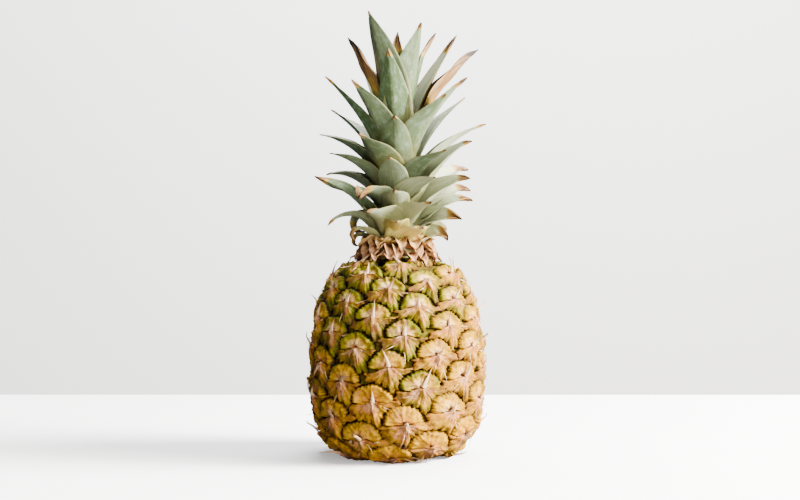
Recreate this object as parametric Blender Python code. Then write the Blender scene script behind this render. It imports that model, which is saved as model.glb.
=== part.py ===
"""A whole pineapple standing on its base: the fruit, its cut stem, the crown's stem, leaves and dry collar.

The frame: +Z runs up the fruit's axis, the origin is the middle of the flat base, and -Y is the front.
Sizes below are millimetres and degrees. Blender's metres come in only where a mesh is made.
"""

import math

import bmesh
import bpy
import numpy as np
from mathutils import Matrix, Vector

MM = 0.001
GAP = 0.3  # clearance between neighbouring pieces

# --- Fruit: a barrel with a flat base, round shoulders and one raised fruitlet ("eye") at each step of a spiral
FRUIT_RADIUS = 60.0
WIDEST_HEIGHT = 60.0
UPPER_HEIGHT, UPPER_SHAPE = 77.0, (2.2, 4.0)  # from the widest ring up to the pole, and its two exponents
LOWER_HEIGHT, LOWER_SHAPE = 63.0, (3.0, 3.4)  # the same downwards; the base plane cuts 3 mm off the lower pole
SEAT_HEIGHT = 136.0  # the flat on top that the crown grows from
EYE_COUNT = 100.5  # eyes from pole to pole, if all took the same share of the skin
EYE_TURN = 137.67  # degrees from one eye to the next, clockwise going up
FIRST_EYE_TURN = 96.2
EYE_SWELL = 0.326  # eyes near the base are larger than those near the top by about this share
EYE_TILT = 8.5  # the spiral stands this much higher at the front than at the axis
EYE_RIM, EYE_RISE = 3.2, 2.3  # width of an eye's sloping rim, and how far its face stands out
CROWN_RIM, CROWN_RISE = 4.5, 0.7  # a second, gentler step that rounds the face

# --- Stems
CUT_STEM_RADIUS, CUT_STEM_DEPTH = 12.0, 6.0
CROWN_STEM = ((15.5, SEAT_HEIGHT + GAP), (15.0, 146.0), (12.0, 180.0), (8.5, 210.0), (5.5, 232.0))

# --- Dry collar of withered leaf ends round the neck
COLLAR_LOBES = 18
COLLAR_FOOT, COLLAR_WALL = 15.5 + GAP, 1.6
COLLAR_TIP, COLLAR_NOTCH = (29.0, 146.0), (22.5, 142.0)  # radius and height of a lobe's tip and of a notch

# --- Crown leaves, from the lowest root to the highest. The roots are closest together at the bottom.
LOWEST_ROOT, HIGHEST_ROOT, ROOT_CROWDING = 143.0, 225.0, 1.3
LEAF_RINGS = 6
LEAF_THICKNESS = 1.3
ROOT_WIDTH_SHARE = 0.6
PALE_LEAVES = 12  # the lowest ones, which have yellowed
# name: degrees round from the front towards the right, tip radius, tip height, blade width, bow (0 straight, 1 bent)
LEAVES = {
    "right_1": (74, 38, 153, 16, 0.8),
    "left_1": (-98, 37, 153, 16, 0.8),
    "front_right_1": (29, 37, 155, 18, 0.6),
    "left_2": (-62, 41, 159, 16, 0.8),
    "back_1": (166, 40, 159, 18, 0.6),
    "back_right_1": (124, 44, 161, 17, 0.7),
    "right_2": (66, 50, 167, 17, 0.8),
    "front_1": (0, 42, 160, 18, 0.5),
    "left_4": (-82, 50, 171, 17, 0.9),
    "back_left_1": (-148, 43, 165, 18, 0.7),
    "front_left_1": (-33, 39, 166, 17, 0.7),
    "left_3": (-116, 44, 170, 16, 0.9),
    "front_right_2": (33, 44, 173, 18, 0.6),
    "left_5": (-74, 59, 195, 18, 0.5),
    "right_3": (88, 53, 180, 17, 0.4),
    "back_2": (176, 46, 180, 18, 0.6),
    "back_right_2": (108, 55, 188, 17, 0.6),
    "front_2": (-2, 47, 180, 20, 0.5),
    "right_4": (76, 52, 195, 17, 0.35),
    "back_left_2": (-136, 50, 186, 18, 0.6),
    "back_right_3": (126, 65, 205, 17, 0.4),
    "front_left_2": (-40, 42, 182, 17, 0.8),
    "front_right_3": (36, 46, 191, 18, 0.5),
    "right_5": (76, 52, 221, 17, 0.3),
    "left_6": (-112, 55, 200, 18, 0.6),
    "back_3": (172, 50, 203, 19, 0.5),
    "front_3": (-6, 48, 202, 22, 0.5),
    "back_right_4": (144, 54, 213, 18, 0.5),
    "front_right_4": (44, 49, 210, 19, 0.5),
    "left_7": (-84, 47, 212, 18, 0.5),
    "back_right_5": (101, 63, 235, 18, 0.4),
    "back_left_3": (-144, 53, 218, 18, 0.5),
    "left_8": (-102, 56, 227, 18, 0.6),
    "front_left_3": (-36, 44, 220, 20, 0.5),
    "back_right_6": (130, 65, 255, 17, 0.5),
    "back_left_4": (-130, 63, 246, 18, 0.4),
    "front_4": (-2, 42, 233, 22, 0.4),
    "back_4": (170, 46, 241, 20, 0.4),
    "front_right_5": (49, 44, 249, 20, 0.4),
    "left_9": (-84, 51, 264, 17, 0.5),
    "right_6": (80, 49, 264, 17, 0.4),
    "back_5": (182, 38, 267, 18, 0.3),
    "front_left_4": (-46, 43, 259, 20, 0.4),
    "back_right_7": (112, 61, 289, 18, 0.4),
    "back_left_5": (-140, 44, 283, 18, 0.3),
    "back_right_8": (124, 52, 297, 17, 0.4),
    "front_5": (-12, 30, 281, 22, 0.3),
    "right_7": (112, 26, 299, 12, 0.35),
    "left_10": (-108, 38, 294, 18, 0.3),
    "front_right_6": (44, 24, 300, 17, 0.25),
    "back_6": (178, 15, 300, 17, 0.2),
    "front_left_5": (-46, 27, 308, 21, 0.05),
}


def clear_scene():
    for old in list(bpy.data.objects):
        bpy.data.objects.remove(old)


def material(name, colour, roughness):
    made = bpy.data.materials.new(name)
    made.use_nodes = True
    surface = made.node_tree.nodes["Principled BSDF"]
    surface.inputs["Base Color"].default_value = (*colour, 1.0)
    surface.inputs["Roughness"].default_value = roughness
    surface.inputs["Metallic"].default_value = 0.0
    return made


def new_object(name, bm, finish):
    """An object of this bmesh, which is in millimetres. The bmesh is freed."""
    bmesh.ops.recalc_face_normals(bm, faces=bm.faces)
    bmesh.ops.transform(bm, matrix=Matrix.Scale(MM, 4), verts=bm.verts)
    mesh = bpy.data.meshes.new(name)
    bm.to_mesh(mesh)
    bm.free()
    mesh.materials.append(finish)
    made = bpy.data.objects.new(name, mesh)
    bpy.context.scene.collection.objects.link(made)
    return made


def smooth(made, angle=35):
    made.data.shade_smooth()
    made.data.set_sharp_from_angle(angle=math.radians(angle))


def direction(turn):
    """Unit vector in the ground plane, this many degrees round from the front (-Y) towards the right (+X)."""
    return Vector((math.sin(math.radians(turn)), -math.cos(math.radians(turn)), 0.0))


# --- Fruit ---------------------------------------------------------------------------------------------------------


def fruit_radius(height):
    """Radius of the smooth fruit at each of these heights, from pole to pole."""
    height = np.asarray(height, float)
    up = np.clip((height - WIDEST_HEIGHT) / UPPER_HEIGHT, 0, 1)
    down = np.clip((WIDEST_HEIGHT - height) / LOWER_HEIGHT, 0, 1)
    upper = (1 - up ** UPPER_SHAPE[0]) ** (1 / UPPER_SHAPE[1])
    lower = (1 - down ** LOWER_SHAPE[0]) ** (1 / LOWER_SHAPE[1])
    return FRUIT_RADIUS * np.where(height > WIDEST_HEIGHT, upper, lower)


def skin_table():
    """Heights from pole to pole, with the skin's area below each and its stretched height on a unit sphere.

    The stretched height keeps small shapes as they are, so eyes that touch on the sphere also touch on the fruit.
    """
    bottom, top = WIDEST_HEIGHT - LOWER_HEIGHT, WIDEST_HEIGHT + UPPER_HEIGHT
    heights = bottom + (top - bottom) * (1 - np.cos(np.linspace(0, math.pi, 4001))) / 2
    radii = fruit_radius(heights)
    steps = np.hypot(np.diff(heights), np.diff(radii))
    means = (radii[1:] + radii[:-1]) / 2
    area = np.concatenate([[0.0], np.cumsum(2 * math.pi * means * steps)])
    climb = np.concatenate([[0.0], np.cumsum(steps / means)])
    return heights, area, climb - np.interp(WIDEST_HEIGHT, heights, climb)


def eye_centres():
    """Each eye's place on the smooth fruit, and its matching place on a unit sphere.

    Every eye takes the next share of the skin, from pole to pole.
    """
    heights, area, climb = skin_table()
    places, twins = [], []
    for step in range(int(EYE_COUNT)):
        share = (step + 0.5) / EYE_COUNT
        share += EYE_SWELL * share * (1 - share)
        height = np.interp(share * area[-1], area, heights)
        side = direction(FIRST_EYE_TURN + 90 - EYE_TURN * step)
        lift = -EYE_TILT * side.y * fruit_radius(height) / FRUIT_RADIUS
        height = min(max(height + lift, heights[0] + 0.02), heights[-1] - 0.02)
        places.append(side * float(fruit_radius(height)) + Vector((0, 0, height)))
        q = np.interp(height, heights, climb)
        twins.append(side / math.cosh(q) + Vector((0, 0, math.tanh(q))))
    return places, twins


def cells_round(places, twins):
    """A closed mesh with one face round each place: the dual of the net of triangles between them."""
    net = bmesh.new()
    for twin in twins:
        net.verts.new(twin)
    net.verts.index_update()
    bmesh.ops.convex_hull(net, input=net.verts, use_existing_faces=False)
    bmesh.ops.triangulate(net, faces=net.faces)
    net.faces.index_update()
    cells = bmesh.new()
    corners = []
    for face in net.faces:
        middle = sum((places[vert.index] for vert in face.verts), Vector()) / 3
        flat = Vector((middle.x, middle.y, 0.0))
        reach = max(flat.length, 0.97 * float(fruit_radius(middle.z)))
        corners.append(cells.verts.new(flat.normalized() * reach + Vector((0, 0, middle.z))))
    for vert in net.verts:
        loop = vert.link_loops[0]
        ring = []
        for _ in vert.link_loops:  # the triangles round this place, in order
            ring.append(corners[loop.face.index])
            loop = loop.link_loop_prev.link_loop_radial_next
        cells.faces.new(ring)
    net.free()
    return cells


def slice_flat(bm, height, keep_above):
    """Cuts the mesh at this height and closes it with a flat face."""
    side = Vector((0, 0, -1 if keep_above else 1))
    geometry = bm.verts[:] + bm.edges[:] + bm.faces[:]
    cut = bmesh.ops.bisect_plane(
        bm, geom=geometry, plane_co=(0, 0, height), plane_no=side, clear_outer=True, dist=0.01
    )
    rim = [item for item in cut["geom_cut"] if isinstance(item, bmesh.types.BMEdge)]
    bmesh.ops.contextual_create(bm, geom=rim)


def make_fruit(finish):
    bm = cells_round(*eye_centres())
    bmesh.ops.recalc_face_normals(bm, faces=bm.faces)
    eyes = bm.faces[:]
    bmesh.ops.inset_individual(bm, faces=eyes, thickness=EYE_RIM, depth=EYE_RISE)
    bmesh.ops.inset_individual(bm, faces=eyes, thickness=CROWN_RIM, depth=CROWN_RISE)
    slice_flat(bm, 0.0, keep_above=True)
    slice_flat(bm, SEAT_HEIGHT, keep_above=False)
    fruit = new_object("fruit", bm, finish)
    pocket = fruit.modifiers.new("stem_pocket", "BOOLEAN")
    pocket.object = turned("stem_pocket_cutter", pocket_profile(), 32, finish)
    pocket.object.hide_render = True
    pocket.object.display_type = "WIRE"
    return fruit


# --- Turned pieces -------------------------------------------------------------------------------------------------


def turned(name, profile, sides, finish):
    """A solid of revolution about the axis. The profile is (radius, height) pairs and starts and ends on the axis."""
    bm = bmesh.new()
    poles = [bm.verts.new((0, 0, profile[0][1])), bm.verts.new((0, 0, profile[-1][1]))]
    rings = [
        [bm.verts.new(direction(360 * side / sides) * radius + Vector((0, 0, height))) for side in range(sides)]
        for radius, height in profile[1:-1]
    ]
    for side in range(sides):
        after = (side + 1) % sides
        bm.faces.new((poles[0], rings[0][after], rings[0][side]))
        bm.faces.new((poles[1], rings[-1][side], rings[-1][after]))
        for low, high in zip(rings, rings[1:]):
            bm.faces.new((low[side], low[after], high[after], high[side]))
    return new_object(name, bm, finish)


def pocket_profile():
    radius, depth = CUT_STEM_RADIUS + GAP, CUT_STEM_DEPTH + GAP
    return ((0, -1.0), (radius, -1.0), (radius, depth), (0, depth))


def make_cut_stem(finish):
    return turned(
        "cut_stem",
        ((0, 0), (CUT_STEM_RADIUS, 0), (CUT_STEM_RADIUS, CUT_STEM_DEPTH), (0, CUT_STEM_DEPTH)),
        24,
        finish,
    )


def make_crown_stem(finish):
    return turned("crown_stem", ((0, CROWN_STEM[0][1]), *CROWN_STEM, (0, CROWN_STEM[-1][1] + 2)), 16, finish)


def make_collar(finish):
    """A flared ring whose upper edge is cut into pointed lobes."""
    bm = bmesh.new()
    foot_height = SEAT_HEIGHT + 2 * GAP
    rings = []
    for edge in range(2 * COLLAR_LOBES):
        outward = direction(180 * edge / COLLAR_LOBES)
        radius, height = COLLAR_TIP if edge % 2 else COLLAR_NOTCH
        rings.append(
            [
                bm.verts.new(outward * r + Vector((0, 0, h)))
                for r, h in (
                    (COLLAR_FOOT, foot_height),
                    (COLLAR_FOOT + 3 * COLLAR_WALL, foot_height),
                    (radius, height),
                    (radius - COLLAR_WALL, height + 0.2),
                    (COLLAR_FOOT, foot_height + 2 * COLLAR_WALL),
                )
            ]
        )
    for one, other in zip(rings, rings[1:] + rings[:1]):
        for low in range(len(one)):
            high = (low + 1) % len(one)
            bm.faces.new((one[low], one[high], other[high], other[low]))
    bmesh.ops.triangulate(bm, faces=bm.faces)
    return new_object("dry_collar", bm, finish)


# --- Leaves --------------------------------------------------------------------------------------------------------


def stem_radius(height):
    radii, heights = zip(*CROWN_STEM)
    return float(np.interp(height, heights, radii))


def leaf_line(leaf, root_height, share):
    """(radius, height) of the leaf's middle line at this share of its length, and its lean from upright in radians."""
    turn, tip_radius, tip_height, width, bow = leaf
    root = Vector((stem_radius(root_height) + 2 * GAP + LEAF_THICKNESS, root_height))
    chord = Vector((tip_radius, tip_height)) - root
    lean = math.atan2(chord.x, chord.y)
    root_lean = lean * (1 - 0.6 * bow)
    bend = root + Vector((math.sin(root_lean), math.cos(root_lean))) * chord.length * 0.5
    tip = root + chord
    place = root * (1 - share) ** 2 + bend * 2 * share * (1 - share) + tip * share**2
    along = (bend - root) * (1 - share) + (tip - bend) * share
    return place, math.atan2(along.x, along.y)


def leaf_width(share):
    """Width as a share of the blade's widest place, which is a third of the way up."""
    if share < 0.33:
        return ROOT_WIDTH_SHARE + (1 - ROOT_WIDTH_SHARE) * math.sin(math.pi / 2 * share / 0.33)
    return math.cos(math.pi / 2 * (share - 0.33) / 0.67) ** 0.8


def leaf_ring(leaf, root_height, share):
    """The points round one cross-section: five on the outer face and three on the inner, hollow face."""
    (radius, height), lean = leaf_line(leaf, root_height, share)
    outward, sideways = direction(leaf[0]), direction(leaf[0] + 90)
    middle = outward * radius + Vector((0, 0, height))
    inward = -outward * math.cos(lean) + Vector((0, 0, math.sin(lean)))
    half = leaf_width(share) * leaf[3] / 2
    depth = half * (0.2 + 0.3 * math.sin(math.pi * share))  # how hollow the blade is
    wall = LEAF_THICKNESS * (1 - 0.45 * share)
    outer = [(across, depth * across**2) for across in (-1, -0.55, 0, 0.55, 1)]
    inner = [(across, depth * across**2 + wall) for across in (0.8, 0, -0.8)]
    return [middle + sideways * half * across + inward * rise for across, rise in outer + inner]


def make_leaf(name, leaf, root_height, finish):
    bm = bmesh.new()
    rings = []
    for station in range(LEAF_RINGS):
        share = 0.97 * station / LEAF_RINGS
        rings.append([bm.verts.new(point) for point in leaf_ring(leaf, root_height, share)])
    (radius, height), _ = leaf_line(leaf, root_height, 1.0)
    tip = bm.verts.new(direction(leaf[0]) * radius + Vector((0, 0, height)))
    for one, other in zip(rings, rings[1:]):
        for low in range(len(one)):
            high = (low + 1) % len(one)
            bm.faces.new((one[low], one[high], other[high], other[low]))
    for low in range(len(rings[-1])):
        bm.faces.new((rings[-1][low], rings[-1][(low + 1) % len(rings[-1])], tip))
    bm.faces.new(rings[0])
    bmesh.ops.triangulate(bm, faces=bm.faces)
    return new_object("leaf_" + name, bm, finish)


def main():
    clear_scene()
    rind = material("rind", (0.56, 0.36, 0.05), 0.55)
    cut_wood = material("cut_wood", (0.55, 0.42, 0.24), 0.85)
    pale_stem = material("pale_stem", (0.62, 0.66, 0.38), 0.6)
    dry_paper = material("dry_paper", (0.38, 0.24, 0.15), 0.85)
    leaf_green = material("leaf_green", (0.24, 0.34, 0.21), 0.5)
    leaf_yellow = material("leaf_yellow", (0.55, 0.52, 0.18), 0.55)

    smooth(make_fruit(rind))
    smooth(make_cut_stem(cut_wood))
    smooth(make_crown_stem(pale_stem))
    make_collar(dry_paper)
    for place, (name, leaf) in enumerate(LEAVES.items()):
        finish = leaf_yellow if place < PALE_LEAVES else leaf_green
        climb = (place / (len(LEAVES) - 1)) ** ROOT_CROWDING
        root_height = LOWEST_ROOT + (HIGHEST_ROOT - LOWEST_ROOT) * climb
        smooth(make_leaf(name, leaf, root_height, finish))


main()
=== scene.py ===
"""The looks of the standing pineapple: its eyes, bracts, spines, collar, crown leaves, table and light.

Lengths are millimetres and angles degrees until a mesh is made, which takes metres. +Z runs up the fruit's
axis and -Y is the front, as in the CAD model. Every piece stands where its CAD node stands.
"""

import math

import bmesh
import bpy
import numpy as np
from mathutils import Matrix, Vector


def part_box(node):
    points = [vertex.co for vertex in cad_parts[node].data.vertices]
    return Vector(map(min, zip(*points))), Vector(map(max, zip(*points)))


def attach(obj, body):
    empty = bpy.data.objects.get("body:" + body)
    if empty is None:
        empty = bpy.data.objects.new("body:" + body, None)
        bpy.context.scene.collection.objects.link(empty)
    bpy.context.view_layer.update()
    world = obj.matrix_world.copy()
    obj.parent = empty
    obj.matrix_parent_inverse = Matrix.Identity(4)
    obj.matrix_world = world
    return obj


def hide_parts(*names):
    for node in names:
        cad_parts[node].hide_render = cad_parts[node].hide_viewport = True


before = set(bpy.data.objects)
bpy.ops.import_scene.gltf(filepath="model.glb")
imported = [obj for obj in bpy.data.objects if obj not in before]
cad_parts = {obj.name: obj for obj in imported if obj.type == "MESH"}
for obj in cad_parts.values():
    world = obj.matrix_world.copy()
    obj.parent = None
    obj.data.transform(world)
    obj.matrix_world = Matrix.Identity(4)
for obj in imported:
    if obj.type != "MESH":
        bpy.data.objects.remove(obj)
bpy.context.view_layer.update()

MM = 0.001
rng = np.random.default_rng(7)

# --- The smooth fruit, as in the CAD model
FRUIT_RADIUS = 60.0
WIDEST_HEIGHT = 60.0
UPPER_HEIGHT, UPPER_SHAPE = 77.0, (2.2, 4.0)  # each shape is two powers: of the height, and of the radius
LOWER_HEIGHT, LOWER_SHAPE = 63.0, (3.0, 3.4)
POCKET_RADIUS, POCKET_DEPTH = 12.5, 6.4  # the hollow under the fruit that holds the cut stem
GAP_DEPTH = 3.4  # how far the dark gaps between the eyes lie below the smooth fruit
TABLE_CLEARANCE = 0.02  # how close to the table a point may come
SPINE_LIMIT = 63.5  # how far from the axis a spine may reach

# --- The spiral of eyes, as in the CAD model
EYE_COUNT = 100.5
EYE_TURN = 137.67  # from one eye to the next
FIRST_EYE_TURN = 96.2
FIRST_EYE_SHARE = 0.14  # how far up its own share of the skin the first eye sits
EYE_SWELL = 0.326  # how much more of the skin the lower eyes take
EYE_TILT = 8.5  # how far the rows rise at the front and sink at the back

# --- One eye: these sizes belong to one whose nearest neighbours are this far off, and the others are scaled
EYE_SPACING = 24.1
DOME_RADIUS = 13.2
DOME_SQUASH = 0.8  # its height, as a share of its width
DOME_OFFSET = (-1.0, 0.8)  # the dome's middle, from the root of the eye's spine
BRACT_REACH = 16.8
BRACT_EDGES = (199.0, 350.0)  # directions of the bract's two wings, counter-clockwise from the right


def srgb(*levels):
    """Linear colour of these 0-255 screen levels."""
    parts = np.array(levels) / 255
    return tuple(np.where(parts <= 0.04045, parts / 12.92, ((parts + 0.055) / 1.055) ** 2.4))


def climb(value, start, width):
    """0 up to the start, then a straight climb to 1 over this width."""
    return np.clip((value - start) / width, 0, 1)


def direction(turn):
    """Unit vectors in the ground plane, this many degrees round from the front towards the right."""
    angle = np.radians(turn)
    return np.stack([np.sin(angle), -np.cos(angle), np.zeros_like(angle)], axis=-1)


# --- Meshes


def add_object(name, data):
    """A new object in the scene, which holds this mesh, lamp or camera."""
    made = bpy.data.objects.new(name, data)
    bpy.context.scene.collection.objects.link(made)
    return made


class Build:
    """Collects grids of points, their faces and their per-point values, and makes one object of them all."""

    def __init__(self):
        self.points, self.faces, self.values, self.count = [], [], {}, 0

    def add_grid(self, points, wrap=False, flip=False, **values):
        """points is (rows, columns, 3). wrap joins the last column to the first."""
        rows, columns = points.shape[:2]
        index = self.count + np.arange(rows * columns).reshape(rows, columns)
        after = np.roll(index, -1, axis=1) if wrap else index[:, 1:]
        here = index if wrap else index[:, :-1]
        quads = np.stack([here[:-1], after[:-1], after[1:], here[1:]], axis=-1).reshape(-1, 4)
        self.faces.append(quads[:, ::-1] if flip else quads)
        self.points.append(points.reshape(-1, 3))
        for name, value in values.items():
            spread = np.broadcast_to(value, (rows, columns)).reshape(-1)
            self.values.setdefault(name, []).append(spread)
        self.count += rows * columns

    def finish(self, name, material, slot, replaces=()):
        """Makes the object, which stands in for the CAD nodes that it replaces."""
        mesh = bpy.data.meshes.new(name)
        points, faces = np.concatenate(self.points) * MM, np.concatenate(self.faces)
        mesh.from_pydata(points.tolist(), [], faces.tolist())
        mesh.validate()
        for key, parts in self.values.items():
            layer = mesh.attributes.new(key, "FLOAT", "POINT")
            layer.data.foreach_set("value", np.concatenate(parts).astype(np.float32))
        mesh.shade_smooth()
        mesh.materials.append(material)
        made = add_object(name, mesh)
        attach(made, "root")
        if replaces:
            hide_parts(*replaces)


# --- Materials


class Shader:
    """A Principled material, short calls for the nodes that feed it, and the colour painted so far. Noise
    scales are per metre, and colours are three screen levels."""

    def __init__(self, name):
        self.material = bpy.data.materials.new(name)
        self.material.use_nodes = True
        self.tree = self.material.node_tree
        self.surface = self.tree.nodes["Principled BSDF"]
        self.colour = None

    def node(self, kind, inputs=None, **settings):
        made = self.tree.nodes.new(kind)
        for key, value in settings.items():
            setattr(made, key, value)
        for key, value in (inputs or {}).items():
            self.feed(made.inputs[key], value)
        return made

    def feed(self, socket, value):
        """Links another node's output to the socket, or sets the socket to a plain value."""
        if isinstance(value, bpy.types.NodeSocket):
            self.tree.links.new(value, socket)
        else:
            socket.default_value = value

    def value(self, name):
        """The value of this name that the mesh holds at each of its points."""
        return self.node("ShaderNodeAttribute", attribute_name=name).outputs["Fac"]

    def place(self):
        return self.node("ShaderNodeTexCoord").outputs["Object"]

    def vector(self, x, y, z):
        return self.node("ShaderNodeCombineXYZ", {"X": x, "Y": y, "Z": z}).outputs[0]

    def math(self, operation, *terms):
        made = self.node("ShaderNodeMath", operation=operation)
        for socket, term in zip(made.inputs, terms):
            self.feed(socket, term)
        return made.outputs[0]

    def times(self, one, other):
        return self.math("MULTIPLY", one, other)

    def plus(self, one, other):
        return self.math("ADD", one, other)

    def greater(self, one, other):
        return self.math("MAXIMUM", one, other)

    def swayed(self, value, noise, amount):
        """The value, moved up or down with the noise by half this amount at most."""
        return self.plus(value, self.times(self.math("SUBTRACT", noise, 0.5), amount))

    def spread(self, value, start, end):
        """0 on the start's side and 1 on the end's, with a soft step between. Either may be the greater."""
        reach = {"Value": value, "From Min": start, "From Max": end}
        return self.node("ShaderNodeMapRange", reach, interpolation_type="SMOOTHSTEP").outputs[0]

    def noise(self, scale, detail=3.0, roughness=0.55, place=None):
        shape = {"Scale": scale, "Detail": detail, "Roughness": roughness, "Vector": place or self.place()}
        return self.node("ShaderNodeTexNoise", shape).outputs["Fac"]

    def patches(self, scale, detail, roughness, start, end):
        """1 in separate patches of noise."""
        return self.spread(self.noise(scale, detail, roughness), start, end)

    def ramp(self, position, stops):
        """Runs through the stops, which are (position, linear colour) or (position, grey)."""
        made = self.node("ShaderNodeValToRGB", {"Fac": position})
        points = made.color_ramp.elements
        while len(points) < len(stops):
            points.new(0.5)
        for point, (place, colour) in zip(points, stops):
            point.position = place
            point.color = (*(colour if isinstance(colour, tuple) else (colour,) * 3), 1.0)
        return made.outputs["Color"]

    def colours(self, position, *stops):
        """Runs through the stops, which are a position and the three screen levels of its colour."""
        return self.ramp(position, [(place, srgb(*levels)) for place, *levels in stops])

    def mix(self, amount, one, other, blend="MIX"):
        made = self.node("ShaderNodeMix", data_type="RGBA", blend_type=blend)
        for place, value in ((0, amount), (6, one), (7, other)):
            self.feed(made.inputs[place], value)
        return made.outputs[2]

    def paint(self, mask, other, amount=None):
        """Turns the colour into the other one where the mask is 1, or towards it by this amount."""
        if amount is not None:
            mask = self.times(mask, amount)
        if isinstance(other, tuple):
            other = (*srgb(*other), 1.0)
        self.colour = self.mix(mask, self.colour, other)

    def dirt_and_crevice_shade(self, reach, darkest, unshaded_from):
        """Painted shade: darkens the colour where the surface lies in a crevice narrower than reach, in
        metres.
        """
        open_share = self.node("ShaderNodeAmbientOcclusion", {"Distance": reach}, samples=6).outputs["AO"]
        shade = self.ramp(open_share, [(0.15, darkest), (unshaded_from, (1.0, 1.0, 1.0))])
        self.colour = self.mix(1.0, self.colour, shade, "MULTIPLY")

    def mottle(self, scale, darkest):
        """Darkens the colour down to this share of itself in soft blotches."""
        shade = self.ramp(self.noise(scale, 6.0, 0.65), [(0.36, darkest), (0.56, 1.0)])
        self.colour = self.mix(1.0, self.colour, shade, "MULTIPLY")

    def finish(self, roughness, bump=None, strength=0.4, distance=0.4 * MM, **sockets):
        """Feeds the surface. Underscores in the sockets' names stand for spaces."""
        self.feed(self.surface.inputs["Base Color"], self.colour)
        self.feed(self.surface.inputs["Roughness"], roughness)
        if bump is not None:
            made = self.node("ShaderNodeBump", {"Height": bump, "Strength": strength, "Distance": distance})
            self.feed(self.surface.inputs["Normal"], made.outputs[0])
        for key, value in sockets.items():
            self.surface.inputs[key.replace("_", " ")].default_value = value
        return self.material


def rind_material():
    """The eyes' domes. rim runs from 0 in the middle to 1 at the rim, and turn goes round, in radians."""
    s = Shader("rind_eyes")
    rim, turn, eye = s.value("rim"), s.value("turn"), s.value("eye")
    fine = s.noise(900.0, 4.0)
    blotch = s.noise(190.0, 5.0, 0.6)
    rays = s.noise(2.2, 5.0, 0.7, s.vector(s.times(turn, 2.6), s.times(rim, 2.6), eye))
    wobbly = s.swayed(s.swayed(rim, rays, 0.2), blotch, 0.45)
    # The ramps' last stops, dark from rim 0.95 on, are painted shade on the dome's wall where it drops into
    # the gaps.
    cream = s.colours(
        wobbly, (0.0, 70, 44, 30), (0.08, 170, 100, 50), (0.18, 252, 206, 136),
        (0.42, 246, 192, 66), (0.56, 206, 150, 0), (0.88, 176, 132, 0), (0.95, 112, 80, 0),
        (1.03, 54, 34, 2),
    )
    golden = s.colours(
        wobbly, (0.0, 70, 44, 30), (0.08, 140, 82, 30), (0.18, 228, 160, 56), (0.4, 204, 140, 0),
        (0.6, 222, 162, 0), (0.88, 206, 150, 0), (0.95, 130, 92, 0), (1.03, 54, 34, 2),
    )
    olive = s.colours(
        wobbly, (0.0, 52, 34, 22), (0.08, 136, 90, 50), (0.18, 246, 214, 164),
        (0.42, 236, 204, 116), (0.58, 156, 138, 0), (0.86, 112, 112, 0), (0.95, 68, 72, 0),
        (1.03, 34, 30, 2),
    )
    s.colour = cream
    gold = s.swayed(s.value("gold"), blotch, 0.8)
    s.paint(s.spread(gold, 0.25, 0.75), golden)
    outside = s.times(s.math("SUBTRACT", rim, 0.7), 0.5)
    green = s.plus(s.swayed(s.value("green"), blotch, 0.9), outside)
    s.paint(s.spread(green, 0.25, 0.8), olive)
    streak = s.times(s.spread(rays, 0.6, 0.7), s.spread(rim, 0.7, 0.2))
    s.paint(streak, (255, 230, 180), 0.4)
    star = s.times(s.spread(rays, 0.52, 0.42), s.spread(rim, 0.62, 0.2))
    s.paint(star, (168, 100, 56), 0.6)
    fleck = s.patches(480.0, 5.0, 0.7, 0.55, 0.62)
    s.paint(fleck, (110, 62, 16), 0.65)
    scab = s.times(s.patches(90.0, 5.0, 0.7, 0.55, 0.63), s.spread(rim, 1.0, 0.7))
    s.paint(scab, (176, 116, 78), 0.6)
    # Painted shade in the notches between the rim's teeth.
    notch = s.spread(s.value("lobe"), -0.25, -0.85)
    s.paint(notch, (90, 62, 2), 0.5)
    # Painted shade: the dome's wall below the rim, deep in the gaps, is near black.
    s.paint(s.spread(rim, 1.0, 1.06), (36, 24, 6))
    s.mottle(170.0, 0.6)
    # Painted shade in the crevices round each dome.
    s.dirt_and_crevice_shade(6 * MM, (0.11, 0.065, 0.012), 0.8)
    height = s.plus(s.plus(s.times(rays, 0.1), s.times(fine, 0.3)), s.times(blotch, 0.8))
    roughness = s.ramp(blotch, [(0.3, 0.45), (0.7, 0.62)])
    return s.finish(roughness, height, 0.9, Specular_IOR_Level=0.12)


def gap_material():
    """The dark skin between the eyes."""
    s = Shader("rind_gaps")
    patch = s.noise(220.0, 4.0)
    s.colour = s.colours(patch, (0.3, 44, 30, 8), (0.5, 92, 74, 8), (0.7, 104, 104, 8))
    return s.finish(0.9, patch, 0.6, Specular_IOR_Level=0.2)


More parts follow.
